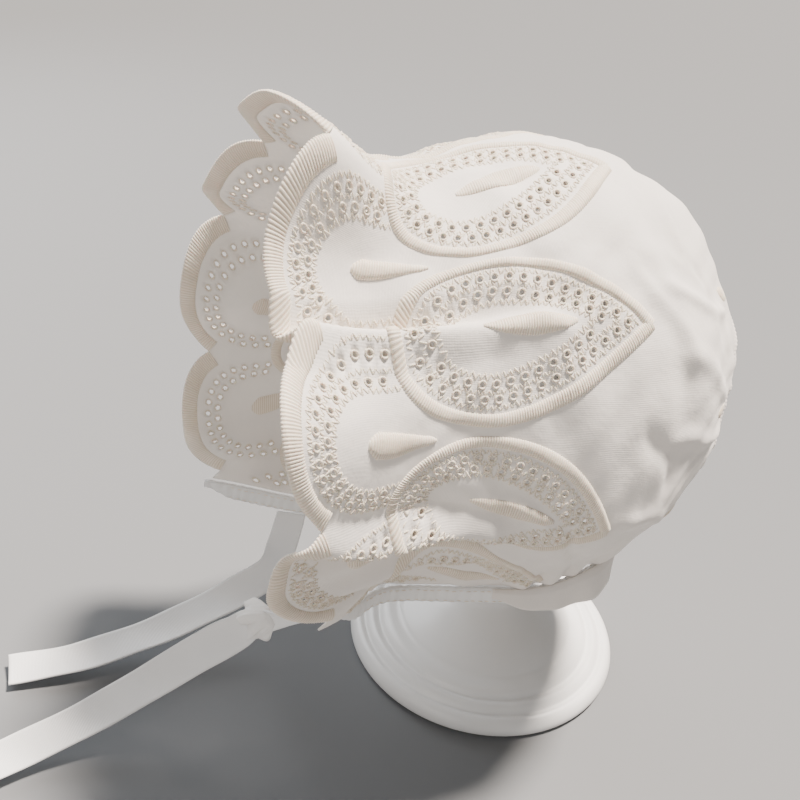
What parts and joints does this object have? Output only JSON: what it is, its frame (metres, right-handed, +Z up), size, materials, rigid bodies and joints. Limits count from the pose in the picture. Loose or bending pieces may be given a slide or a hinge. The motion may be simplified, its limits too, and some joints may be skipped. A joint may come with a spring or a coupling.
{
  "type": "baby sun hat on stand",
  "caption": "Soft baby sun hat with a flared scalloped eyelet brim, petal embroidery, gathered nape and ribbon ties, resting on a plain turned stand.",
  "frame": {"origin": "middle of the stand foot's underside", "axes": "+Z up, -Y out of the face opening, +X towards the side whose tie hangs furthest forward"},
  "size_m": [0.1382, 0.2719, 0.2305],
  "materials": {
    "embroidered_cotton": "matte cotton with satin stitched edges and eyelets",
    "white_cotton": "matte plain weave",
    "binding_tape": "matte woven tape",
    "ribbon": "soft woven ribbon",
    "stand": "painted white, satin"
  },
  "bodies": {
    "root": {"brim": "embroidered_cotton", "crown": "white_cotton", "back_panel": "white_cotton", "neck_band": "binding_tape", "nape_ruffle": "white_cotton", "tie_near": "ribbon", "tie_far": "ribbon", "stand_foot": "stand", "stand_stem": "stand", "stand_head": "stand"}
  },
  "joints": []
}
